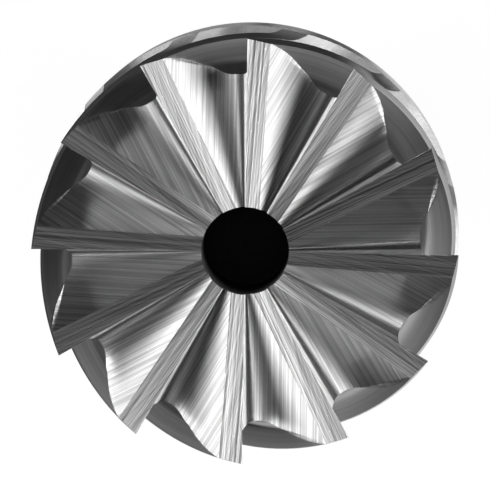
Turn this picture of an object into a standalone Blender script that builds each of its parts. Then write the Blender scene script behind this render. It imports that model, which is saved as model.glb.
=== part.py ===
"""Carbide burr: a cylindrical cutting head with end teeth, brazed to a round steel shank.

Metres, +Z up. The origin is the centre of the shank's end face, and the teeth face up.
The head is made as the real one is: a turned blank, helical flutes ground by a wheel that lifts
out into the plain band, then an end grind that forms every gash, clearance and cutting edge.
"""

import math

import bmesh
import bpy
from mathutils import Matrix, Vector

MM = 0.001
DEGREE = math.radians(1.0)

# Cutting head: overall form, measured down from the plane of the tooth tips
CUT_RADIUS = 6.35 * MM
BAND_RADIUS = 6.50 * MM
BAND_END = 9.1 * MM
HEAD_LENGTH = 12.7 * MM
NECK_RADIUS = 3.65 * MM

# Helical flutes on the head's side
TEETH = 12
FIRST_TOOTH = -0.2 * DEGREE
HELIX_ANGLE = 38.0 * DEGREE
RAKE_DEPTH = 1.01 * MM
FLOOR_ANGLE = 12.0 * DEGREE
BACK_ANGLE = 46.0 * DEGREE
GULLET_RADIUS = 0.80 * MM
SIDE_LAND = 0.68 * MM
SIDE_RELIEF = 14.0 * DEGREE
FLUTE_LENGTH = 5.0 * MM
RUNOUT_LENGTH = 1.7 * MM

# Grind on the end face
DISH_ANGLE = 4.3 * DEGREE
END_RELIEF = 9.0 * DEGREE
END_LAND_OUTER = 0.69 * MM
END_LAND_INNER = 0.41 * MM
SECONDARY_ANGLE = 46.0 * DEGREE
GASH_DRAFT = 10.0 * DEGREE
VALLEY_SPREAD = 9.6 * DEGREE
VALLEY_INSET = 0.21 * MM
EDGE_SETBACK = 0.6 * DEGREE

# Blind hole in the middle of the end face
HOLE_RADIUS = 1.31 * MM
HOLE_DEPTH = 3.6 * MM
DRILL_POINT_ANGLE = 118.0 * DEGREE

# Shank and the braze that holds the head on it
SHANK_RADIUS = 3.175 * MM
SHANK_LENGTH = 38.0 * MM
SHANK_CHAMFER = 0.25 * MM
BRAZE_THICKNESS = 0.30 * MM
BRAZE_RIM_INSET = 0.10 * MM
BRAZE_CLEARANCE = 0.01 * MM

# How finely the curved faces are cut
TURNED_STEPS = 96
STATION_ANGLE = 4.0 * DEGREE
RUNOUT_STEPS = 6
GULLET_STEPS = 4
FILLET_STEPS = 5
BRAZE_STEPS = 5
SMOOTH_ANGLE = 28.0 * DEGREE

# Extra reach of the grinding forms past the metal they cut
STOCK = 0.35 * MM
OVERCUT = 0.5 * MM

PITCH = 2.0 * math.pi / TEETH
HEAD_BASE = SHANK_LENGTH + BRAZE_THICKNESS + 2.0 * BRAZE_CLEARANCE
TIP_HEIGHT = HEAD_BASE + HEAD_LENGTH


def clear_scene():
    for item in list(bpy.data.objects):
        bpy.data.objects.remove(item, do_unlink=True)


def finish_material(name, color, roughness, metallic):
    material = bpy.data.materials.new(name)
    material.use_nodes = True
    shader = material.node_tree.nodes["Principled BSDF"]
    shader.inputs["Base Color"].default_value = (*color, 1.0)
    shader.inputs["Roughness"].default_value = roughness
    shader.inputs["Metallic"].default_value = metallic
    return material


def add_object(name, bm, height, material=None):
    """Close a bmesh into an object that stands at the given height on the axis."""
    bmesh.ops.recalc_face_normals(bm, faces=bm.faces)
    mesh = bpy.data.meshes.new(name)
    bm.to_mesh(mesh)
    bm.free()
    item = bpy.data.objects.new(name, mesh)
    item.location.z = height
    bpy.context.collection.objects.link(item)
    if material is None:
        item.hide_render = True
        item.display_type = "WIRE"
        return item
    mesh.materials.append(material)
    mesh.shade_smooth()
    mesh.set_sharp_from_angle(angle=SMOOTH_ANGLE)
    return item


def turned(profile):
    """A solid of revolution from (radius, height) points that start and end on the axis."""
    bm = bmesh.new()
    points = [bm.verts.new((radius, 0.0, height)) for radius, height in profile]
    edges = [bm.edges.new(pair) for pair in zip(points, points[1:])]
    bmesh.ops.spin(
        bm,
        geom=points + edges,
        cent=(0.0, 0.0, 0.0),
        axis=(0.0, 0.0, 1.0),
        angle=2.0 * math.pi,
        steps=TURNED_STEPS,
    )
    bmesh.ops.remove_doubles(bm, verts=bm.verts, dist=1e-7)
    return bm


def skin(bm, rows):
    """Join each closed row of corners to the next with a band of faces."""
    for upper, lower in zip(rows, rows[1:]):
        for index in range(len(upper)):
            after = (index + 1) % len(upper)
            bm.faces.new((upper[index], upper[after], lower[after], lower[index]))


def cut(item, tool, operation):
    """Grind or drill an object with another one, which stays hidden."""
    modifier = item.modifiers.new(tool.name, "BOOLEAN")
    modifier.operation = operation
    modifier.solver = "EXACT"
    modifier.object = tool


def fillet(before, corner, after, radius, steps):
    """Points of the arc that rounds the corner between two straight stretches."""
    back = (before - corner).normalized()
    ahead = (after - corner).normalized()
    half = back.angle(ahead) / 2.0
    centre = corner + (back + ahead).normalized() * radius / math.sin(half)
    first = corner + back * radius / math.tan(half) - centre
    last = corner + ahead * radius / math.tan(half) - centre
    sweep = first.angle(last)
    points = []
    for step in range(steps + 1):
        turn = sweep * step / steps
        point = first * math.sin(sweep - turn) + last * math.sin(turn)
        points.append(centre + point / math.sin(sweep))
    return points


def heading(angle):
    return Vector((math.cos(angle), math.sin(angle)))


def crossing(start, direction, other, other_direction):
    """Where two straight lines in the plane meet."""
    gap = other - start
    share = gap.cross(other_direction) / direction.cross(other_direction)
    return start + direction * share


def flute_section():
    """One tooth of the head's cross section, from its tip clockwise to the next rake face.

    The points are worked out beside the clockwise neighbour's rake face, which lies along +X:
    the side land, the straight back of the tooth, the gullet's arc and the floor that rises
    from it to that face.
    """
    tip = CUT_RADIUS * heading(PITCH)
    heel = tip + SIDE_LAND * heading(PITCH - math.pi / 2.0 - SIDE_RELIEF)
    rake_foot = Vector((CUT_RADIUS - RAKE_DEPTH, 0.0))
    back = heading(-math.pi / 2.0 - BACK_ANGLE)
    floor = heading(math.pi / 2.0 + FLOOR_ANGLE)
    corner = crossing(heel, back, rake_foot, floor)
    gullet = fillet(heel, corner, rake_foot, GULLET_RADIUS, GULLET_STEPS)
    rake_middle = Vector((CUT_RADIUS - RAKE_DEPTH / 2.0, 0.0))
    outline = [tip, heel, *gullet, rake_foot, rake_middle]
    return [(point.length, math.atan2(point.y, point.x) - PITCH) for point in outline]


def flute_form():
    """The fluted bar: the section twisted down the helix, then lifted clear past the flutes."""
    section = flute_section()
    station_length = STATION_ANGLE * CUT_RADIUS / math.tan(HELIX_ANGLE)
    top = 2.0 * STOCK
    full_steps = math.ceil((top + FLUTE_LENGTH) / station_length)
    stations = []
    for step in range(full_steps + 1):
        stations.append((top - (top + FLUTE_LENGTH) * step / full_steps, 0.0))
    root_radius = min(radius for radius, angle in section)
    full_lift = BAND_RADIUS + OVERCUT - root_radius
    for step in range(1, RUNOUT_STEPS + 1):
        share = step / RUNOUT_STEPS
        stations.append((-FLUTE_LENGTH - RUNOUT_LENGTH * share, full_lift * share**2))

    bm = bmesh.new()
    rows = []
    for height, lift in stations:
        twist = FIRST_TOOTH + height * math.tan(HELIX_ANGLE) / CUT_RADIUS
        row = []
        for tooth in range(TEETH):
            for radius, angle in section:
                turn = twist + angle - tooth * PITCH
                reach = radius + lift
                row.append(bm.verts.new((reach * math.cos(turn), reach * math.sin(turn), height)))
        rows.append(row)
    foot = -HEAD_LENGTH - OVERCUT
    rows.append([bm.verts.new((vert.co.x, vert.co.y, foot)) for vert in rows[-1]])
    skin(bm, rows)
    bm.faces.new(rows[0])
    bm.faces.new(rows[-1])
    bmesh.ops.triangulate(bm, faces=bm.faces)
    return bm


def edge_height(radius):
    """Height of the dished end's cutting edges under the plane of the tips."""
    return -(CUT_RADIUS - radius) * math.tan(DISH_ANGLE)


def land_heel(radius):
    """Trailing edge of the end land at a radius, beside the clockwise neighbour's edge."""
    spread = (END_LAND_OUTER - END_LAND_INNER) / (CUT_RADIUS - HOLE_RADIUS)
    width_at_axis = END_LAND_INNER - spread * HOLE_RADIUS
    room = radius**2 * (1.0 + spread**2) - width_at_axis**2
    along = (math.sqrt(room) - spread * width_at_axis) / (1.0 + spread**2)
    width = width_at_axis + spread * along
    point = Vector((along, -width, edge_height(along) - width * math.tan(END_RELIEF)))
    return Matrix.Rotation(PITCH, 3, "Z") @ point


def secondary_plane():
    """Height and outward slope, on the rake line, of the steep face behind each end land."""
    rise = math.tan(SECONDARY_ANGLE)
    inner = land_heel(HOLE_RADIUS)
    outer = land_heel(CUT_RADIUS)
    inner_height = inner.z - rise * inner.y
    outer_height = outer.z - rise * outer.y
    slope = (outer_height - inner_height) / (outer.x - inner.x)
    return inner_height - slope * inner.x, slope


def gash_section(along):
    """The gash across one rake line: edge, drafted wall, fillet that widens outwards, slope."""
    height_at_axis, slope = secondary_plane()
    face = height_at_axis + slope * along
    edge = Vector((along, 0.0, edge_height(along)))
    draft = math.tan(GASH_DRAFT)
    rise = math.tan(SECONDARY_ANGLE)
    root_y = (edge.z - face) * draft / (1.0 + rise * draft)
    root = Vector((along, root_y, face + rise * root_y))
    uphill = Vector((0.0, math.cos(SECONDARY_ANGLE), math.sin(SECONDARY_ANGLE)))
    valley_start = HOLE_RADIUS - VALLEY_INSET
    reach = (along - valley_start) * math.tan(VALLEY_SPREAD) / math.cos(SECONDARY_ANGLE)
    opening = math.pi / 2.0 - SECONDARY_ANGLE + GASH_DRAFT
    radius = reach * math.tan(opening / 2.0)
    return [edge, *fillet(edge, root, root + uphill, radius, FILLET_STEPS)]


def end_form():
    """The end grind as one ring whose underside is the finished end face of the head."""
    inner = HOLE_RADIUS - VALLEY_INSET / 2.0
    outer = CUT_RADIUS + OVERCUT
    bm = bmesh.new()
    rows = []
    for radius in (inner, (inner + outer) / 2.0, outer):
        sector = gash_section(radius) + [land_heel(radius)]
        row = []
        for tooth in range(TEETH):
            place = Matrix.Rotation(FIRST_TOOTH - EDGE_SETBACK + tooth * PITCH, 3, "Z")
            row.extend(bm.verts.new(place @ point) for point in sector)
        rows.append(row)
    lid = 2.0 * STOCK + OVERCUT
    outer_lid = [bm.verts.new((vert.co.x, vert.co.y, lid)) for vert in rows[-1]]
    inner_lid = [bm.verts.new((vert.co.x, vert.co.y, lid)) for vert in rows[0]]
    skin(bm, [*rows, outer_lid, inner_lid, rows[0]])
    bmesh.ops.triangulate(bm, faces=bm.faces)
    return bm


def head_blank():
    """The turned blank: a cylinder with a plain band and a cone down to the neck."""
    return turned(
        [
            (0.0, STOCK),
            (BAND_RADIUS, STOCK),
            (BAND_RADIUS, -BAND_END),
            (NECK_RADIUS, -HEAD_LENGTH),
            (0.0, -HEAD_LENGTH),
        ]
    )


def hole_drill():
    """The drill for the blind hole, with a plain pointed bottom."""
    point_length = HOLE_RADIUS / math.tan(DRILL_POINT_ANGLE / 2.0)
    return turned(
        [
            (0.0, STOCK + OVERCUT),
            (HOLE_RADIUS, STOCK + OVERCUT),
            (HOLE_RADIUS, -HOLE_DEPTH),
            (0.0, -HOLE_DEPTH - point_length),
        ]
    )


def add_cutting_head():
    carbide = finish_material("ground_carbide", (0.42, 0.42, 0.42), 0.28, 1.0)
    head = add_object("cutting_head", head_blank(), TIP_HEIGHT, carbide)
    cut(head, add_object("flute_grind", flute_form(), TIP_HEIGHT), "INTERSECT")
    cut(head, add_object("end_grind", end_form(), TIP_HEIGHT), "DIFFERENCE")
    cut(head, add_object("hole_drill", hole_drill(), TIP_HEIGHT), "DIFFERENCE")


def add_braze_joint():
    """The layer of braze between the faces, with a hollow rim from the neck to the shank."""
    braze = finish_material("braze_alloy", (0.72, 0.58, 0.34), 0.35, 1.0)
    upper = NECK_RADIUS - BRAZE_RIM_INSET
    rim = [(0.0, BRAZE_THICKNESS)]
    for step in range(BRAZE_STEPS + 1):
        turn = step / BRAZE_STEPS * math.pi / 2.0
        radius = upper - (upper - SHANK_RADIUS) * math.sin(turn)
        rim.append((radius, BRAZE_THICKNESS * math.cos(turn)))
    rim.append((0.0, 0.0))
    add_object("braze_joint", turned(rim), SHANK_LENGTH + BRAZE_CLEARANCE, braze)


def add_shank():
    steel = finish_material("ground_steel", (0.56, 0.57, 0.58), 0.3, 1.0)
    profile = [
        (0.0, SHANK_LENGTH),
        (SHANK_RADIUS, SHANK_LENGTH),
        (SHANK_RADIUS, SHANK_CHAMFER),
        (SHANK_RADIUS - SHANK_CHAMFER, 0.0),
        (0.0, 0.0),
    ]
    add_object("shank", turned(profile), 0.0, steel)


def main():
    clear_scene()
    add_cutting_head()
    add_braze_joint()
    add_shank()


main()
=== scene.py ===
import math

import bmesh
import bpy
from mathutils import Matrix, Vector


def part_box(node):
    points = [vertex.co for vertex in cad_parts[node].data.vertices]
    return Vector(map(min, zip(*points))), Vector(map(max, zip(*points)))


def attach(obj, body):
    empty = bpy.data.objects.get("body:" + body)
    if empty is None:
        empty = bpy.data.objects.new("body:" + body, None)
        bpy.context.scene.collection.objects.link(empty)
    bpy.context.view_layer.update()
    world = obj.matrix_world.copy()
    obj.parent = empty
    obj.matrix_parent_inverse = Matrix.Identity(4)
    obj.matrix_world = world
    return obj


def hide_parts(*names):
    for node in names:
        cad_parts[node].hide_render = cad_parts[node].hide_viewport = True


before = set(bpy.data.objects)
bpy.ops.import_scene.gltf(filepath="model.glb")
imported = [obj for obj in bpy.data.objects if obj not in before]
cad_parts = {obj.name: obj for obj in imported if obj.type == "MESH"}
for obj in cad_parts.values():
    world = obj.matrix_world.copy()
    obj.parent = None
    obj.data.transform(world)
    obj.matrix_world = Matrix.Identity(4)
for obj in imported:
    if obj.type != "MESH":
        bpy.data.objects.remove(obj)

MM = 0.001
DEGREE = math.radians(1.0)
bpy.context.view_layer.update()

# Heights of the pieces on the tool's axis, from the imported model
SHANK_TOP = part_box("shank")[1].z
HEAD_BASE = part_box("cutting_head")[0].z
BRAZE_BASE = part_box("braze_joint")[0].z
BRAZE_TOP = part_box("braze_joint")[1].z

# Cutting head, measured down from the plane of the tooth tips
CUT_RADIUS = 6.35 * MM
BAND_RADIUS = 6.50 * MM
BAND_END = 9.1 * MM
HEAD_LENGTH = 12.7 * MM
NECK_RADIUS = 3.65 * MM
TIP_HEIGHT = HEAD_BASE + HEAD_LENGTH

# Helical flutes
TEETH = 12
PITCH = 2.0 * math.pi / TEETH
FIRST_TOOTH = -0.2 * DEGREE
HELIX_ANGLE = 38.0 * DEGREE
RAKE_DEPTH = 1.01 * MM
FLOOR_ANGLE = 12.0 * DEGREE
BACK_ANGLE = 46.0 * DEGREE
GULLET_RADIUS = 0.80 * MM
SIDE_LAND = 0.68 * MM
SIDE_RELIEF = 14.0 * DEGREE
FLUTE_LENGTH = 5.0 * MM
RUNOUT_LENGTH = 1.7 * MM

# Grind on the end face
DISH_ANGLE = 4.3 * DEGREE
END_RELIEF = 9.0 * DEGREE
END_LAND_OUTER = 0.69 * MM
END_LAND_INNER = 0.41 * MM
SECONDARY_ANGLE = 46.0 * DEGREE
GASH_DRAFT = 10.0 * DEGREE
VALLEY_SPREAD = 9.6 * DEGREE
VALLEY_INSET = 0.21 * MM
EDGE_SETBACK = 0.6 * DEGREE
FIRST_EDGE = FIRST_TOOTH - EDGE_SETBACK

# Centre hole
HOLE_RADIUS = 1.31 * MM
HOLE_DEPTH = 3.6 * MM
DRILL_POINT_ANGLE = 118.0 * DEGREE

# Shank and braze
SHANK_RADIUS = 3.175 * MM
SHANK_CHAMFER = 0.25 * MM
BRAZE_RIM_INSET = 0.10 * MM

# Fineness of the finished surfaces
TURNED_STEPS = 192
SWEEP_STEPS = 44
RUNOUT_STEPS = 20
GULLET_STEPS = 12
SIDE_LAND_STEPS = 3
FLUTE_WALL_STEPS = 4
FILLET_STEPS = 14
END_ROWS = 9
BRAZE_STEPS = 16
SMOOTH_ANGLE = 20.0 * DEGREE
WELD = 0.0004 * MM

# Reach of the grinding forms past the metal they cut
STOCK = 0.35 * MM
OVERCUT = 0.5 * MM

# Metal finishes. Widths, and heights in millimetres, are those of the broad, middle and fine grinding
# lines. Streaky and uneven are how much colour and roughness vary with the lines. Drawn is how far the
# gloss is stretched, and turned is the angle in degrees at which it is.
GASH_LOOK = {
    "widths": (0.25 * MM, 0.07 * MM, 0.03 * MM),
    "heights": (0.012, 0.007, 0.0025),
    "color": 0.58,
    "streaky": 0.30,
    "rough": 0.40,
    "uneven": 0.16,
    "drawn": 1.0,
    "turned": 4.0,
}
LAND_LOOK = {
    "widths": (0.20 * MM, 0.06 * MM, 0.03 * MM),
    "heights": (0.006, 0.010, 0.0040),
    "color": 0.53,
    "streaky": 0.60,
    "rough": 0.32,
    "uneven": 0.20,
    "drawn": 0.9,
    "turned": 0.0,
}
FLUTE_LOOK = {
    "widths": (0.30 * MM, 0.08 * MM, 0.03 * MM),
    "heights": (0.008, 0.003, 0.0010),
    # Darker than the ground end faces: painted shade in the flutes
    "color": 0.40,
    "streaky": 0.10,
    "rough": 0.30,
    "uneven": 0.10,
    "drawn": 0.6,
    "turned": 38.0,
}
BAND_LOOK = {
    "widths": (0.50 * MM, 0.09 * MM, 0.03 * MM),
    "heights": (0.0, 0.001, 0.0003),
    "color": 0.58,
    "streaky": 0.06,
    "rough": 0.30,
    "uneven": 0.05,
    "drawn": 0.5,
    "turned": 90.0,
}
STEEL_LOOK = {
    "widths": (0.50 * MM, 0.09 * MM, 0.03 * MM),
    "heights": (0.0, 0.003, 0.0010),
    "color": 0.56,
    "streaky": 0.12,
    "rough": 0.30,
    "uneven": 0.08,
    "drawn": 0.8,
    "turned": 90.0,
}
BRAZE_LOOK = {
    "tint": (1.0, 0.82, 0.50),
    "widths": (0.40 * MM, 0.15 * MM, 0.06 * MM),
    "heights": (0.020, 0.010, 0.004),
    "color": 0.72,
    "streaky": 0.10,
    "rough": 0.38,
    "uneven": 0.20,
    "drawn": 0.2,
    "turned": 90.0,
}
PLAIN_TINT = (1.0, 1.0, 1.0)
BLACK = (0.0, 0.0, 0.0)
WHITE = (1.0, 1.0, 1.0, 1.0)

# Grinding lines: their lengths in widths, how far apart two surfaces' lines are picked, how much of a
# crossing set shows, what the broad, middle and fine lines add to the colour, and its contrast
BROAD_DRAW = 120.0
FINE_DRAW = 250.0
SEED_STEP = 7.31
CROSSED_SEED = 3.0
CROSSED_SHARE = 0.45
TONE_SHARES = (0.15, 0.45, 0.40)
TONE_RANGE = (0.38, 0.62)

# Small nick marks in the teeth: rougher, and lighter in colour as a painted glint
NICK_SPACING = 0.06 * MM
NICK_RANGE = (0.80, 0.86)
NICK_DULLNESS = 0.3

# Gash finish, by the angle past the cutting edge: a painted highlight on the wall top that fades out,
# lines that end at the wall's foot, and painted shade that darkens the root
WALL_END = (0.9 * DEGREE, 1.4 * DEGREE)
WALL_LINES_END = (1.5 * DEGREE, 3.5 * DEGREE)
ROOT_END = (2.2 * DEGREE, 4.5 * DEGREE)
# Painted shade in the gash root and painted highlight on the wall top, as shares of the colour
PAINTED_ROOT_SHADE = 0.85
PAINTED_WALL_HIGHLIGHT = 0.05
# Painted glint on the nick marks in the gash
GASH_NICK_GLINT = 0.5

# End land finish: how far two crossing sets of lines lean outwards, the painted glint on the nick marks,
# and how little the lines change with depth
LAND_LEANS = (4.0 * DEGREE, 15.0 * DEGREE)
LAND_NICK_GLINT = 0.6
LAND_DEPTH_SHARE = 0.02

# Flute finish, duller and brighter where the wheel runs out
RUNOUT_ZONE = (-FLUTE_LENGTH - 0.6 * MM, -FLUTE_LENGTH + 0.8 * MM)
RUNOUT_DULLNESS = 0.30
RUNOUT_BRIGHTNESS = 0.15

# Centre hole: painted shade, nearly black and matt
HOLE_GRAIN = 9000.0
HOLE_DARK = 0.010
HOLE_LIGHT = 0.030
HOLE_ROUGHNESS = 0.7

# Camera: what it looks from and at, off the tool's axis, in the photograph's pixels
PIXELS_PER_METRE = 33700.0
PHOTO_WIDTH = 490.0
EYE_PIXELS = (110.0, 385.0)
EYE_DISTANCE = 20.5 * CUT_RADIUS
TARGET_PIXELS = (0.4, 7.3)
NEAR_CLIP = 1.0 * MM

# Softboxes as the teeth see them: distance, elevation and height, then each one's own values
LAMP_REACH = 0.45
LAMP_ELEVATION = 30.0 * DEGREE
LAMP_HEIGHT = 31.0 * DEGREE
RIGHT_AZIMUTH = -1.0 * DEGREE
RIGHT_WIDTH = 72.0 * DEGREE
RIGHT_LAMP = 7.1
LEFT_AZIMUTH = 186.0 * DEGREE
LEFT_WIDTH = 82.0 * DEGREE
LEFT_LAMP = 7.1

# Floor and surroundings
FLOOR_RADIUS = 1.5
FLOOR_SIDES = 64
FLOOR_PAINT = (0.8, 0.8, 0.8)
FLOOR_GLOW = 0.90
STUDIO_DIM = 0.12

# Dark dome over the lamps
DOME_REACH = 0.62
DOME_SHADE = 0.03
DOME_TOP_SHADE = 0.20
DOME_TOP_SPREAD = 22.0 * DEGREE
DOME_STEPS = 24

# Black card bent round the tool. Its foot is raised by the gap between the open angles, and tucked in
# over other stretches, each given as from and to in degrees and the foot's reach.
LOW_CARD_SHADE = 0.04
LOW_CARD_REACH = 0.030
LOW_CARD_HEIGHT = 0.054
LOW_CARD_GAP = 0.033
LOW_CARD_FLOOR_GAP = 0.0005
LOW_CARD_STEPS = 72
LOW_CARD_OPEN = (237.0, 322.0)
LOW_CARD_FEET = (
    (42.0, 47.0, 0.022),
    (47.0, 52.0, 0.016),
    (52.0, 72.0, 0.009),
    (72.0, 88.0, 0.014),
    (88.0, 94.0, 0.009),
    (94.0, 236.0, 0.014),
)


# Node arithmetic


class Wire:
    """An output socket that takes part in Python arithmetic."""

    def __init__(self, graph, socket):
        self.graph = graph
        self.socket = socket

    def __add__(self, other):
        return self.graph.math("ADD", self, other)

    def __radd__(self, other):
        return self.graph.math("ADD", other, self)

    def __sub__(self, other):
        return self.graph.math("SUBTRACT", self, other)

    def __rsub__(self, other):
        return self.graph.math("SUBTRACT", other, self)

    def __mul__(self, other):
        return self.graph.math("MULTIPLY", self, other)

    def __rmul__(self, other):
        return self.graph.math("MULTIPLY", other, self)

    def __truediv__(self, other):
        return self.graph.math("DIVIDE", self, other)

    def __rtruediv__(self, other):
        return self.graph.math("DIVIDE", other, self)


class Graph:
    """Builds one node tree, for a finish or for a shape."""

    def __init__(self, tree):
        self.tree = tree

    def add(self, kind, settings=None, values=None):
        """A node with its settings made first and then its sockets' values or links."""
        node = self.tree.nodes.new(kind)
        for name, value in (settings or {}).items():
            setattr(node, name, value)
        for key, value in (values or {}).items():
            self.join(node.inputs[key], value)
        return Wire(self, node.outputs[0])

    def join(self, socket, value):
        if isinstance(value, Wire):
            self.tree.links.new(value.socket, socket)
        else:
            socket.default_value = value

    def math(self, operation, *values):
        return self.add("ShaderNodeMath", {"operation": operation}, dict(enumerate(values)))

    def vector(self, x, y, z):
        return self.add("ShaderNodeCombineXYZ", None, {0: x, 1: y, 2: z})

    def split(self, vector):
        node = self.add("ShaderNodeSeparateXYZ", None, {0: vector}).socket.node
        return [Wire(self, output) for output in node.outputs]

    def smooth(self, value, low, high):
        """Rises smoothly from 0 to 1 as the value goes from low to high."""
        settings = {"interpolation_type": "SMOOTHSTEP"}
        return self.add("ShaderNodeMapRange", settings, {0: value, 1: low, 2: high})


# Geometry Nodes


def shape_tree(name, inputs):
    """An empty Geometry Nodes tree with named inputs; returns its graph and their wires."""
    tree = bpy.data.node_groups.new(name, "GeometryNodeTree")
    tree.interface.new_socket(name="Geometry", in_out="OUTPUT", socket_type="NodeSocketGeometry")
    tree.interface.new_socket(name="Geometry", in_out="INPUT", socket_type="NodeSocketGeometry")
    for label, kind in inputs:
        tree.interface.new_socket(name=label, in_out="INPUT", socket_type=kind)
    graph = Graph(tree)
    start = tree.nodes.new("NodeGroupInput")
    wires = {output.name: Wire(graph, output) for output in start.outputs if output.name}
    return graph, wires


def end_tree(graph, geometry):
    """Makes the geometry the tree's result."""
    finish = graph.tree.nodes.new("NodeGroupOutput")
    graph.tree.links.new(geometry.socket, finish.inputs[0])


def grid_from_outline(graph, wires, rows):
    """A flat grid with one column a point of the outline, and each point's place in it."""
    columns = graph.add("GeometryNodeAttributeDomainSize", None, {0: wires["Geometry"]})
    sizes = {0: 1.0, 1: 1.0, 2: columns, 3: rows}
    grid = graph.add("GeometryNodeMeshGrid", None, sizes)
    across, down, flat = graph.split(graph.add("GeometryNodeInputPosition"))
    column = graph.math("ROUND", (across + 0.5) * (columns - 1.0))
    share = 0.5 - down
    place = graph.add("GeometryNodeInputPosition")
    outline = graph.add(
        "GeometryNodeSampleIndex",
        {"data_type": "FLOAT_VECTOR"},
        {0: wires["Geometry"], 1: place, 2: column},
    )
    return grid, outline, share


def lathe_tree():
    """Turns an outline of (radius, 0, height) points round the axis."""
    graph, wires = shape_tree(
        "turn_on_lathe", [("Steps", "NodeSocketInt"), ("Finish", "NodeSocketMaterial")]
    )
    grid, outline, share = grid_from_outline(graph, wires, wires["Steps"] + 1.0)
    turned = graph.add(
        "ShaderNodeVectorRotate",
        {"rotation_type": "Z_AXIS"},
        {"Vector": outline, "Angle": share * (2.0 * math.pi)},
    )
    solid = graph.add("GeometryNodeSetPosition", None, {"Geometry": grid, "Position": turned})
    welded = graph.add("GeometryNodeMergeByDistance", None, {"Geometry": solid, "Distance": WELD})
    whole = graph.add("GeometryNodeRealizeInstances", None, {0: welded})
    end_tree(graph, graph.add("GeometryNodeSetMaterial", None, {0: whole, "Material": wires["Finish"]}))
    return graph.tree


def sweep_tree():
    """Draws a tooth's cross section down the helix and lifts it clear past the flutes."""
    graph, wires = shape_tree(
        "grind_helical_flute",
        [
            ("Full Rows", "NodeSocketInt"),
            ("Runout Rows", "NodeSocketInt"),
            ("Top", "NodeSocketFloat"),
            ("Flute Length", "NodeSocketFloat"),
            ("Runout Length", "NodeSocketFloat"),
            ("Runout Lift", "NodeSocketFloat"),
            ("Foot", "NodeSocketFloat"),
            ("Twist", "NodeSocketFloat"),
            ("Finish", "NodeSocketMaterial"),
        ],
    )
    rows = wires["Full Rows"] + wires["Runout Rows"]
    grid, outline, share = grid_from_outline(graph, wires, rows + 2.0)
    row = share * (rows + 1.0)
    past = graph.math("MAXIMUM", row - wires["Full Rows"], 0.0) / wires["Runout Rows"]
    past = graph.math("MINIMUM", past, 1.0)
    below = graph.math("MAXIMUM", row - rows, 0.0)
    along = graph.math("MINIMUM", row / wires["Full Rows"], 1.0)
    drop = (wires["Top"] + wires["Flute Length"]) * along + wires["Runout Length"] * past
    height = wires["Top"] - drop
    x, y, flat = graph.split(outline)
    radius = graph.math("SQRT", x * x + y * y)
    growth = (radius + wires["Runout Lift"] * past * past) / radius
    level = height + (wires["Foot"] - height) * below
    lifted = graph.vector(x * growth, y * growth, level)
    twisted = graph.add(
        "ShaderNodeVectorRotate",
        {"rotation_type": "Z_AXIS"},
        {"Vector": lifted, "Angle": height * wires["Twist"]},
    )
    wall = graph.add("GeometryNodeSetPosition", None, {"Geometry": grid, "Position": twisted})
    whole = graph.add("GeometryNodeRealizeInstances", None, {0: wall})
    end_tree(graph, graph.add("GeometryNodeSetMaterial", None, {0: whole, "Material": wires["Finish"]}))
    return graph.tree


def ring_tree():
    """Repeats one tooth's surface all the way round the axis and welds the teeth together."""
    graph, wires = shape_tree(
        "repeat_round_axis",
        [
            ("Teeth", "NodeSocketInt"),
            ("First Angle", "NodeSocketFloat"),
            ("One Finish", "NodeSocketBool"),
            ("Finish", "NodeSocketMaterial"),
        ],
    )
    centres = graph.add("GeometryNodePoints", None, {0: wires["Teeth"]})
    number = graph.add("GeometryNodeInputIndex")
    angle = wires["First Angle"] + number * (2.0 * math.pi) / wires["Teeth"]
    turn = graph.add("FunctionNodeEulerToRotation", None, {0: graph.vector(0.0, 0.0, angle)})
    teeth = graph.add(
        "GeometryNodeInstanceOnPoints",
        None,
        {"Points": centres, "Instance": wires["Geometry"], "Rotation": turn},
    )
    whole = graph.add("GeometryNodeRealizeInstances", None, {0: teeth})
    welded = graph.add("GeometryNodeMergeByDistance", None, {"Geometry": whole, "Distance": WELD})
    finish = {0: welded, "Selection": wires["One Finish"], "Material": wires["Finish"]}
    end_tree(graph, graph.add("GeometryNodeSetMaterial", None, finish))
    return graph.tree


def new_piece(name, data):
    """An object in the scene, at the origin."""
    piece = bpy.data.objects.new(name, data)
    bpy.context.scene.collection.objects.link(piece)
    return piece


def made_plain(piece):
    """The evaluated shape as a mesh of its own, without the empty slot Set Material adds."""
    bpy.context.view_layer.update()
    depsgraph = bpy.context.evaluated_depsgraph_get()
    mesh = bpy.data.meshes.new_from_object(piece.evaluated_get(depsgraph))
    bpy.data.objects.remove(piece)
    if mesh.materials and mesh.materials[0] is None:
        mesh.materials.pop(index=0)
    return mesh


def grown(mesh, tree, settings):
    """A mesh put through a Geometry Nodes tree with its named inputs set."""
    piece = new_piece("growing", mesh)
    modifier = piece.modifiers.new("shape", "NODES")
    modifier.node_group = tree
    for item in tree.interface.items_tree:
        if item.in_out == "INPUT" and item.name in settings:
            modifier[item.identifier] = settings[item.name]
    return made_plain(piece)


def polyline(points):
    """A mesh of points joined in a row."""
    mesh = bpy.data.meshes.new("outline")
    pairs = [(index, index + 1) for index in range(len(points) - 1)]
    mesh.from_pydata([tuple(point) for point in points], pairs, [])
    return mesh


def turned(profile, finish):
    """A mesh turned from (radius, height) points that start and end on the axis."""
    points = [(radius, 0.0, height) for radius, height in profile]
    return grown(polyline(points), LATHE, {"Steps": TURNED_STEPS, "Finish": finish})


def repeated(mesh, first_angle, finish=None):
    """One tooth's mesh all round the axis, in one finish or in its own."""
    settings = {"Teeth": TEETH, "First Angle": first_angle, "One Finish": finish is not None}
    if finish is not None:
        settings["Finish"] = finish
    return grown(mesh, RING, settings)


# Rules of the grind


def heading(angle):
    """A step of length one in the plane, at an angle from +X."""
    return Vector((math.cos(angle), math.sin(angle)))


def crossing(start, direction, other, other_direction):
    """Where two straight lines in the plane meet."""
    gap = other - start
    share = gap.cross(other_direction) / direction.cross(other_direction)
    return start + direction * share


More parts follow.
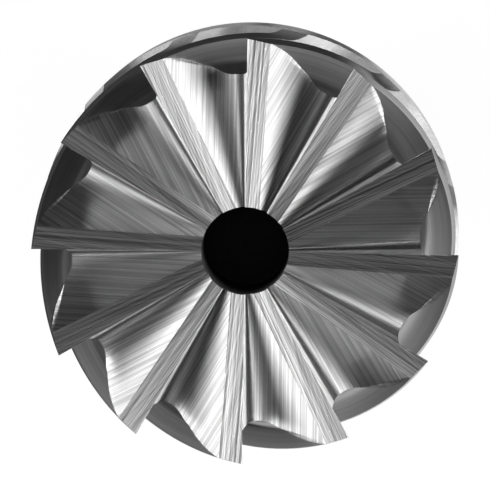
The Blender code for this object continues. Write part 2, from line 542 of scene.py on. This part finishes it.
def fillet(before, corner, after, radius, steps):
    """Points of the arc that rounds the corner between two straight stretches."""
    back = (before - corner).normalized()
    ahead = (after - corner).normalized()
    half = back.angle(ahead) / 2.0
    centre = corner + (back + ahead).normalized() * radius / math.sin(half)
    first = corner + back * radius / math.tan(half) - centre
    last = corner + ahead * radius / math.tan(half) - centre
    sweep = first.angle(last)
    points = []
    for step in range(steps + 1):
        turn = sweep * step / steps
        point = first * math.sin(sweep - turn) + last * math.sin(turn)
        points.append(centre + point / math.sin(sweep))
    return points


def stretch(start, end, steps):
    """Points from start up to but not including end."""
    return [start.lerp(end, step / steps) for step in range(steps)]


def flute_section():
    """One tooth's cross section, from its tip clockwise to the next tip, which is on +X."""
    tip = CUT_RADIUS * heading(PITCH)
    heel = tip + SIDE_LAND * heading(PITCH - math.pi / 2.0 - SIDE_RELIEF)
    rake_foot = Vector((CUT_RADIUS - RAKE_DEPTH, 0.0))
    back = heading(-math.pi / 2.0 - BACK_ANGLE)
    floor = heading(math.pi / 2.0 + FLOOR_ANGLE)
    corner = crossing(heel, back, rake_foot, floor)
    gullet = fillet(heel, corner, rake_foot, GULLET_RADIUS, GULLET_STEPS)
    next_tip = Vector((CUT_RADIUS, 0.0))
    outline = [*stretch(tip, heel, SIDE_LAND_STEPS), *stretch(heel, gullet[0], FLUTE_WALL_STEPS)]
    outline += [*gullet, *stretch(rake_foot, next_tip, FLUTE_WALL_STEPS), next_tip]
    return outline


def edge_height(radius):
    """Height of the dished end's cutting edges under the plane of the tips."""
    return -(CUT_RADIUS - radius) * math.tan(DISH_ANGLE)


def land_heel(radius):
    """Trailing edge of the end land at a radius, beside the clockwise neighbour's edge."""
    spread = (END_LAND_OUTER - END_LAND_INNER) / (CUT_RADIUS - HOLE_RADIUS)
    width_at_axis = END_LAND_INNER - spread * HOLE_RADIUS
    room = radius**2 * (1.0 + spread**2) - width_at_axis**2
    along = (math.sqrt(room) - spread * width_at_axis) / (1.0 + spread**2)
    width = width_at_axis + spread * along
    point = Vector((along, -width, edge_height(along) - width * math.tan(END_RELIEF)))
    return Matrix.Rotation(PITCH, 3, "Z") @ point


def secondary_plane():
    """Height and outward slope, on the rake line, of the steep face behind each end land."""
    rise = math.tan(SECONDARY_ANGLE)
    inner = land_heel(HOLE_RADIUS)
    outer = land_heel(CUT_RADIUS)
    inner_height = inner.z - rise * inner.y
    outer_height = outer.z - rise * outer.y
    slope = (outer_height - inner_height) / (outer.x - inner.x)
    return inner_height - slope * inner.x, slope


def gash_section(along):
    """The gash across one rake line: edge, drafted wall, fillet that widens outwards, slope."""
    height_at_axis, slope = secondary_plane()
    face = height_at_axis + slope * along
    edge = Vector((along, 0.0, edge_height(along)))
    draft = math.tan(GASH_DRAFT)
    rise = math.tan(SECONDARY_ANGLE)
    root_y = (edge.z - face) * draft / (1.0 + rise * draft)
    root = Vector((along, root_y, face + rise * root_y))
    uphill = Vector((0.0, math.cos(SECONDARY_ANGLE), math.sin(SECONDARY_ANGLE)))
    valley_start = HOLE_RADIUS - VALLEY_INSET
    reach = (along - valley_start) * math.tan(VALLEY_SPREAD) / math.cos(SECONDARY_ANGLE)
    opening = math.pi / 2.0 - SECONDARY_ANGLE + GASH_DRAFT
    radius = reach * math.tan(opening / 2.0)
    return [edge, *fillet(edge, root, root + uphill, radius, FILLET_STEPS)]


def end_sector(radius):
    """One tooth's end from the clockwise neighbour's edge to its own, at a radius."""
    heel = land_heel(radius)
    own_edge = Matrix.Rotation(PITCH, 3, "Z") @ Vector((radius, 0.0, edge_height(radius)))
    return [*gash_section(radius), heel, own_edge]


def end_strip():
    """One tooth's end surface, closed over the top as a form that can be cut away."""
    inner = HOLE_RADIUS - VALLEY_INSET / 2.0
    outer = CUT_RADIUS + OVERCUT
    lid = 2.0 * STOCK + OVERCUT
    rows = []
    for step in range(END_ROWS):
        rows.append(end_sector(inner + (outer - inner) * step / (END_ROWS - 1)))
    rows.append([Vector((point.x, point.y, lid)) for point in rows[-1]])
    rows.append([Vector((point.x, point.y, lid)) for point in rows[0]])
    rows.append(rows[0])
    width = len(rows[0])
    corners = [tuple(point) for row in rows for point in row]
    faces = []
    for row in range(len(rows) - 1):
        for column in range(width - 1):
            start = row * width + column
            faces.append((start, start + 1, start + width + 1, start + width))
    mesh = bpy.data.meshes.new("end_strip")
    mesh.from_pydata(corners, [], faces)
    return mesh


def end_surface(gash, land):
    """The whole end grind. The last column of every tooth's strip is its end land."""
    strip = end_strip()
    columns = len(end_sector(CUT_RADIUS)) - 1
    strip.materials.append(gash)
    strip.materials.append(land)
    for face in strip.polygons:
        face.material_index = 1 if face.index % columns == columns - 1 else 0
    return repeated(strip, FIRST_EDGE)


def flute_wall(finish):
    """The head's fluted wall, all round and from above the tips to past the run-out."""
    section = [(point.x, point.y, 0.0) for point in flute_section()]
    root_radius = min(Vector(point).length for point in section)
    settings = {
        "Full Rows": SWEEP_STEPS,
        "Runout Rows": RUNOUT_STEPS,
        "Top": 2.0 * STOCK,
        "Flute Length": FLUTE_LENGTH,
        "Runout Length": RUNOUT_LENGTH,
        "Runout Lift": BAND_RADIUS + OVERCUT - root_radius,
        "Foot": -HEAD_LENGTH - OVERCUT,
        "Twist": math.tan(HELIX_ANGLE) / CUT_RADIUS,
        "Finish": finish,
    }
    tooth = grown(polyline(section), SWEEP, settings)
    return repeated(tooth, FIRST_TOOTH, finish)


def closed(mesh):
    """Fills a mesh's open ends and turns its faces outwards."""
    bm = bmesh.new()
    bm.from_mesh(mesh)
    bmesh.ops.holes_fill(bm, edges=[edge for edge in bm.edges if edge.is_boundary])
    bmesh.ops.triangulate(bm, faces=bm.faces)
    bmesh.ops.recalc_face_normals(bm, faces=bm.faces)
    bm.to_mesh(mesh)
    bm.free()
    return mesh


def cut(piece, tool, operation):
    """Shapes a piece by a tool, whose finish goes on the cut faces."""
    modifier = piece.modifiers.new(tool.name, "BOOLEAN")
    modifier.operation = operation
    modifier.solver = "EXACT"
    modifier.material_mode = "TRANSFER"
    modifier.object = tool


def finished(mesh, name, height):
    """A piece with its place in its mesh, smooth where it is round and sharp at its edges."""
    mesh.transform(Matrix.Translation((0.0, 0.0, height)))
    bm = bmesh.new()
    bm.from_mesh(mesh)
    bmesh.ops.remove_doubles(bm, verts=bm.verts, dist=WELD)
    bmesh.ops.recalc_face_normals(bm, faces=bm.faces)
    bm.to_mesh(mesh)
    bm.free()
    mesh.shade_smooth()
    mesh.set_sharp_from_angle(angle=SMOOTH_ANGLE)
    return new_piece(name, mesh)


# Shape trees, each built once and used by every piece that needs it
LATHE = lathe_tree()
SWEEP = sweep_tree()
RING = ring_tree()


# Finishes


def new_finish(name):
    """An empty metal finish; returns it with its graph, its main shader and the place on it."""
    material = bpy.data.materials.new(name)
    material.use_nodes = True
    shader = material.node_tree.nodes["Principled BSDF"]
    shader.inputs["Metallic"].default_value = 1.0
    graph = Graph(material.node_tree)
    coordinates = graph.add("ShaderNodeTexCoord").socket.node
    place = Wire(graph, coordinates.outputs["Object"])
    return material, graph, shader, place


def noise(graph, vector, detail=2.0):
    """Noise from 0 to 1 with its middle at 0.5, one grain for each unit of the vector."""
    values = {"Vector": vector, "Scale": 1.0, "Detail": detail}
    return graph.add("ShaderNodeTexNoise", {"noise_dimensions": "3D"}, values)


def strokes(graph, stroke, width, draw, seed):
    """Grinding lines of a width: noise drawn out along the stroke, new on every surface."""
    along, across, depth = stroke
    shift = seed * SEED_STEP
    vector = graph.vector(along / (width * draw) + shift, across / width + shift, depth / width)
    return noise(graph, vector)


def blend_color(graph, share, dark, light):
    """From the dark colour at 0 to the light one at 1."""
    node = graph.add("ShaderNodeMix", {"data_type": "RGBA"}).socket.node
    graph.join(node.inputs[0], share)
    graph.join(node.inputs[6], (*dark, 1.0))
    graph.join(node.inputs[7], (*light, 1.0))
    return Wire(graph, node.outputs[2])


def scaled(graph, vector, factor):
    """A vector times a plain number."""
    return graph.add("ShaderNodeVectorMath", {"operation": "SCALE"}, {0: vector, 3: factor})


def nick_marks_and_glints(graph, place):
    """A mask of small nick marks, a few here and there, that are rougher and carry a painted glint."""
    spots = scaled(graph, place, 1.0 / NICK_SPACING)
    return graph.smooth(noise(graph, spots, 0.0), *NICK_RANGE)


def grind(graph, shader, stroke, seed, look, dim=0.0, dull=0.0, crossing_stroke=None):
    """Lines left by a grinding wheel: fine slopes, uneven gloss and streaky colour."""
    broad = strokes(graph, stroke, look["widths"][0], BROAD_DRAW, seed)
    middle = strokes(graph, stroke, look["widths"][1], FINE_DRAW, seed)
    fine = strokes(graph, stroke, look["widths"][2], FINE_DRAW, seed)
    if crossing_stroke is not None:
        crossed = strokes(graph, crossing_stroke, look["widths"][1], BROAD_DRAW, seed + CROSSED_SEED)
        middle = middle * (1.0 - CROSSED_SHARE) + crossed * CROSSED_SHARE
    shader.inputs["Anisotropic"].default_value = look["drawn"]
    shader.inputs["Anisotropic Rotation"].default_value = look["turned"] / 360.0
    height = broad * look["heights"][0] + middle * look["heights"][1] + fine * look["heights"][2]
    bump = graph.add("ShaderNodeBump", None, {"Strength": 1.0, "Distance": MM, "Height": height})
    graph.join(shader.inputs["Normal"], bump)
    tone = middle * TONE_SHARES[1] + broad * TONE_SHARES[0] + fine * TONE_SHARES[2]
    tone = graph.smooth(tone, *TONE_RANGE)
    shade = look["color"] * (1.0 - look["streaky"] + tone * (2.0 * look["streaky"]))
    # dim darkens the colour, or lightens it where it is below 0: it carries the gash's painted root shade
    # and painted wall highlight, the nick marks' painted glint, and the run-out's lighter colour
    shade = shade * (1.0 - dim)
    graph.join(shader.inputs["Base Color"], blend_color(graph, shade, BLACK, look.get("tint", PLAIN_TINT)))
    rough = look["rough"] + (fine - 0.5) * look["uneven"] + dull
    graph.join(shader.inputs["Roughness"], rough)


def tooth_place(graph, place, own_edge):
    """Place beside a tooth's edge: along it, across it, up, the tooth's number and the turn."""
    x, y, z = graph.split(place)
    angle = graph.math("ARCTAN2", y, x) - FIRST_EDGE
    number = graph.math("FLOOR", angle / PITCH)
    local = angle - (number + (1.0 if own_edge else 0.0)) * PITCH
    radius = graph.math("SQRT", x * x + y * y)
    along = radius * graph.math("COSINE", local)
    across = radius * graph.math("SINE", local)
    return along, across, z, number, local


def leaning(along, across, lean):
    """The same place for lines that lean outwards from the edge."""
    drawn = along * math.cos(lean) - across * math.sin(lean)
    aside = along * math.sin(lean) + across * math.cos(lean)
    return drawn, aside


def gash_finish():
    """Lines along the gash on every tooth, with painted shade at the root and a painted highlight at the
    wall's top.
    """
    material, graph, shader, place = new_finish("carbide_gash")
    along, across, up, number, turn = tooth_place(graph, place, own_edge=False)
    on_wall = 1.0 - graph.smooth(turn, *WALL_LINES_END)
    depth = (up - along * secondary_plane()[1]) * on_wall
    # Masks for the painted highlight on the wall top and the painted shade in the root
    wall = 1.0 - graph.smooth(turn, *WALL_END)
    root = 1.0 - graph.smooth(turn, *ROOT_END)
    nick_and_glint_mask = nick_marks_and_glints(graph, place)
    # Painted root shade, painted wall-top highlight and painted glint on the nick marks, as a change of
    # the colour
    dim = root * PAINTED_ROOT_SHADE - wall * (PAINTED_ROOT_SHADE + PAINTED_WALL_HIGHLIGHT) - nick_and_glint_mask * GASH_NICK_GLINT
    dull = nick_and_glint_mask * NICK_DULLNESS
    grind(graph, shader, (along, across, depth), number, GASH_LOOK, dim, dull)
    return material


def land_finish():
    """Lines nearly along the cutting edge, crossed by a second, more slanting set."""
    material, graph, shader, place = new_finish("carbide_end_land")
    along, across, up, number, turn = tooth_place(graph, place, own_edge=True)
    depth = up * LAND_DEPTH_SHARE
    first = (*leaning(along, across, LAND_LEANS[0]), depth)
    second = (*leaning(along, across, LAND_LEANS[1]), depth)
    nick_and_glint_mask = nick_marks_and_glints(graph, place)
    dull = nick_and_glint_mask * NICK_DULLNESS
    # The nick marks are rougher, and lighter in colour as a painted glint
    grind(graph, shader, first, number, LAND_LOOK, nick_and_glint_mask * -LAND_NICK_GLINT, dull, second)
    return material


def flute_finish():
    """Lines down the helix, which is untwisted to draw them."""
    material, graph, shader, place = new_finish("carbide_flute")
    x, y, z = graph.split(place)
    twist = (z - TIP_HEIGHT) * (-math.tan(HELIX_ANGLE) / CUT_RADIUS)
    straight = graph.add(
        "ShaderNodeVectorRotate", {"rotation_type": "Z_AXIS"}, {"Vector": place, "Angle": twist}
    )
    across, depth, up = graph.split(straight)
    runout = 1.0 - graph.smooth(z - TIP_HEIGHT, *RUNOUT_ZONE)
    dim = runout * -RUNOUT_BRIGHTNESS
    grind(graph, shader, (up, across, depth), 0.0, FLUTE_LOOK, dim, runout * RUNOUT_DULLNESS)
    return material


def turned_finish(name, look):
    """Lines that run round the axis, on a side, a cone or a flat end."""
    material, graph, shader, place = new_finish(name)
    x, y, z = graph.split(place)
    radius = graph.math("SQRT", x * x + y * y)
    grind(graph, shader, (x + y, z + radius, z - radius), 0.0, look)
    return material


def hole_painted_shade():
    """A nearly black, rough wall in the centre hole: painted shade."""
    material, graph, shader, place = new_finish("carbide_hole")
    grain = noise(graph, scaled(graph, place, HOLE_GRAIN))
    color = blend_color(graph, grain, (HOLE_DARK,) * 3, (HOLE_LIGHT,) * 3)
    graph.join(shader.inputs["Base Color"], color)
    shader.inputs["Roughness"].default_value = HOLE_ROUGHNESS
    shader.inputs["Metallic"].default_value = 0.0
    return material


# Pieces


def make_head():
    """The carbide head: a turned blank, crossed with the flutes, less the end grind and the drill."""
    flute = flute_finish()
    gash = gash_finish()
    land = land_finish()
    band = turned_finish("carbide_band", BAND_LOOK)
    hole = hole_painted_shade()
    blank = [
        (0.0, STOCK),
        (BAND_RADIUS, STOCK),
        (BAND_RADIUS, -BAND_END),
        (NECK_RADIUS, -HEAD_LENGTH),
        (0.0, -HEAD_LENGTH),
    ]
    point_length = HOLE_RADIUS / math.tan(DRILL_POINT_ANGLE / 2.0)
    drill = [
        (0.0, STOCK + OVERCUT),
        (HOLE_RADIUS, STOCK + OVERCUT),
        (HOLE_RADIUS, -HOLE_DEPTH),
        (0.0, -HOLE_DEPTH - point_length),
    ]
    head = new_piece("blank", closed(turned(blank, band)))
    tools = [
        (new_piece("flute_form", closed(flute_wall(flute))), "INTERSECT"),
        (new_piece("end_form", closed(end_surface(gash, land))), "DIFFERENCE"),
        (new_piece("drill_form", closed(turned(drill, hole))), "DIFFERENCE"),
    ]
    for tool, operation in tools:
        cut(head, tool, operation)
    mesh = made_plain(head)
    for tool, operation in tools:
        bpy.data.objects.remove(tool)
    piece = finished(mesh, "ground_head", TIP_HEIGHT)
    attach(piece, "root")
    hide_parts("cutting_head")


def make_shank():
    """The round shank, chamfered at its free end."""
    steel = turned_finish("steel_shank", STEEL_LOOK)
    profile = [
        (0.0, SHANK_TOP),
        (SHANK_RADIUS, SHANK_TOP),
        (SHANK_RADIUS, SHANK_CHAMFER),
        (SHANK_RADIUS - SHANK_CHAMFER, 0.0),
        (0.0, 0.0),
    ]
    piece = finished(turned(profile, steel), "round_shank", 0.0)
    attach(piece, "root")
    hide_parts("shank")


def make_braze():
    """The braze between head and shank, with a hollow fillet round its rim."""
    braze = turned_finish("silver_braze", BRAZE_LOOK)
    thickness = BRAZE_TOP - BRAZE_BASE
    upper = NECK_RADIUS - BRAZE_RIM_INSET
    rim = [(0.0, thickness)]
    for step in range(BRAZE_STEPS + 1):
        turn = step / BRAZE_STEPS * math.pi / 2.0
        rim.append((upper - (upper - SHANK_RADIUS) * math.sin(turn), thickness * math.cos(turn)))
    rim.append((0.0, 0.0))
    piece = finished(turned(rim, braze), "braze_ring", BRAZE_BASE)
    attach(piece, "root")
    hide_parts("braze_joint")


# Studio


def photo_point(pixels, height):
    """A point at a height whose distance from the tool's axis is given in the photograph's pixels."""
    return Vector((pixels[0] / PIXELS_PER_METRE, pixels[1] / PIXELS_PER_METRE, height))


def make_camera():
    """Looks down on the end teeth, with the photograph's up side towards +Y."""
    eye = photo_point(EYE_PIXELS, TIP_HEIGHT + EYE_DISTANCE)
    target = photo_point(TARGET_PIXELS, TIP_HEIGHT)
    data = bpy.data.cameras.new("photo_camera")
    camera = new_piece("photo_camera", data)
    forward = (target - eye).normalized()
    right = forward.cross(Vector((0.0, 1.0, 0.0))).normalized()
    up = right.cross(forward)
    place = Matrix((right, up, -forward)).transposed().to_4x4()
    place.translation = eye
    camera.matrix_world = place
    data.lens = (target - eye).length * PIXELS_PER_METRE / PHOTO_WIDTH * data.sensor_width
    data.clip_start = NEAR_CLIP
    bpy.context.scene.camera = camera


def shows_white(graph, strength):
    """How white the background is where it is seen, through glass or in metal too."""
    rays = graph.add("ShaderNodeLightPath").socket.node
    camera = Wire(graph, rays.outputs["Is Camera Ray"])
    glass = Wire(graph, rays.outputs["Is Transmission Ray"])
    metal = Wire(graph, rays.outputs["Is Glossy Ray"])
    return graph.math("MAXIMUM", graph.math("MAXIMUM", camera, glass), metal) * strength


def studio_paint(name):
    """An empty material for a surface of the studio, and its graph."""
    material = bpy.data.materials.new(name)
    material.use_nodes = True
    graph = Graph(material.node_tree)
    graph.tree.nodes.clear()
    return material, graph


def end_shader(graph, shader, kind="ShaderNodeOutputMaterial"):
    """Makes the shader the tree's result."""
    output = graph.tree.nodes.new(kind)
    graph.tree.links.new(shader.socket, output.inputs["Surface"])


def make_floor():
    """A pale floor that takes the tool's shadow and shows white."""
    bm = bmesh.new()
    bmesh.ops.create_circle(bm, cap_ends=True, radius=FLOOR_RADIUS, segments=FLOOR_SIDES)
    mesh = bpy.data.meshes.new("studio_floor")
    bm.to_mesh(mesh)
    bm.free()
    material, graph = studio_paint("pale_floor")
    paint = graph.add("ShaderNodeBsdfDiffuse", None, {0: (*FLOOR_PAINT, 1.0)})
    glow = graph.add("ShaderNodeEmission", None, {0: WHITE, 1: 1.0})
    seen = shows_white(graph, FLOOR_GLOW)
    end_shader(graph, graph.add("ShaderNodeMixShader", None, {0: seen, 1: paint, 2: glow}))
    mesh.materials.append(material)
    new_piece("studio_floor", mesh)


def card_paint(name, shade):
    """Plain matt paint."""
    material, graph = studio_paint(name)
    end_shader(graph, graph.add("ShaderNodeBsdfDiffuse", None, {0: (shade, shade, shade, 1.0)}))
    return material


def dome_card():
    """A dark dome over the lamps, with a grey top that the end lands mirror."""
    profile = []
    for step in range(DOME_STEPS + 1):
        turn = step / DOME_STEPS * math.pi / 2.0
        profile.append((DOME_REACH * math.sin(turn), DOME_REACH * math.cos(turn)))
    mesh = turned(profile, card_paint("dark_card", DOME_SHADE))
    mesh.materials.append(card_paint("grey_card", DOME_TOP_SHADE))
    for face in mesh.polygons:
        if face.center.z > DOME_REACH * math.cos(DOME_TOP_SPREAD):
            face.material_index = len(mesh.materials) - 1
    return mesh


def low_card():
    """A black card bent round the tool, with its foot tucked in or raised in places."""
    corners = []
    for step in range(LOW_CARD_STEPS + 1):
        turn = 360.0 * step / LOW_CARD_STEPS
        lifted = LOW_CARD_OPEN[0] <= turn <= LOW_CARD_OPEN[1]
        reach = LOW_CARD_REACH
        for start, end, foot in LOW_CARD_FEET:
            if start <= turn <= end:
                reach = foot
        x = math.cos(turn * DEGREE)
        y = math.sin(turn * DEGREE)
        corners.append((reach * x, reach * y, LOW_CARD_GAP if lifted else LOW_CARD_FLOOR_GAP))
        corners.append((LOW_CARD_REACH * x, LOW_CARD_REACH * y, LOW_CARD_HEIGHT))
    faces = [(2 * step, 2 * step + 2, 2 * step + 3, 2 * step + 1) for step in range(LOW_CARD_STEPS)]
    mesh = bpy.data.meshes.new("low_card")
    mesh.from_pydata(corners, [], faces)
    mesh.materials.append(card_paint("black_card", LOW_CARD_SHADE))
    return mesh


def make_cards():
    """Dark cards round the tool for its metal to mirror, which no camera sees."""
    for name, mesh in (("dome_card", dome_card()), ("low_card", low_card())):
        card = new_piece(name, mesh)
        card.visible_camera = False
        card.visible_shadow = False


def add_softbox(name, azimuth, width, brightness):
    """A rectangle of light that faces the teeth from one side."""
    data = bpy.data.lights.new(name, "AREA")
    data.shape = "RECTANGLE"
    data.size = 2.0 * LAMP_REACH * math.tan(width / 2.0)
    data.size_y = 2.0 * LAMP_REACH * math.tan(LAMP_HEIGHT / 2.0)
    data.energy = brightness * math.pi * data.size * data.size_y
    level = LAMP_REACH * math.cos(LAMP_ELEVATION)
    rise = LAMP_REACH * math.sin(LAMP_ELEVATION)
    away = Vector((level * math.cos(azimuth), level * math.sin(azimuth), rise))
    lamp = new_piece(name, data)
    lamp.location = Vector((0.0, 0.0, TIP_HEIGHT)) + away
    lamp.rotation_euler = (-away).to_track_quat("-Z", "Y").to_euler()
    lamp.visible_camera = False


def make_light():
    """A dim room that shows white, and a softbox on each side."""
    world = bpy.data.worlds.new("studio")
    bpy.context.scene.world = world
    world.use_nodes = True
    graph = Graph(world.node_tree)
    graph.tree.nodes.clear()
    dim = graph.add("ShaderNodeBackground", None, {0: WHITE, 1: STUDIO_DIM})
    white = graph.add("ShaderNodeBackground", None, {0: WHITE, 1: 1.0})
    seen = shows_white(graph, 1.0)
    mixed = graph.add("ShaderNodeMixShader", None, {0: seen, 1: dim, 2: white})
    end_shader(graph, mixed, "ShaderNodeOutputWorld")
    add_softbox("softbox_right", RIGHT_AZIMUTH, RIGHT_WIDTH, RIGHT_LAMP)
    add_softbox("softbox_left", LEFT_AZIMUTH, LEFT_WIDTH, LEFT_LAMP)


make_head()
make_shank()
make_braze()
make_camera()
make_floor()
make_cards()
make_light()
bpy.context.scene.view_settings.view_transform = "Standard"
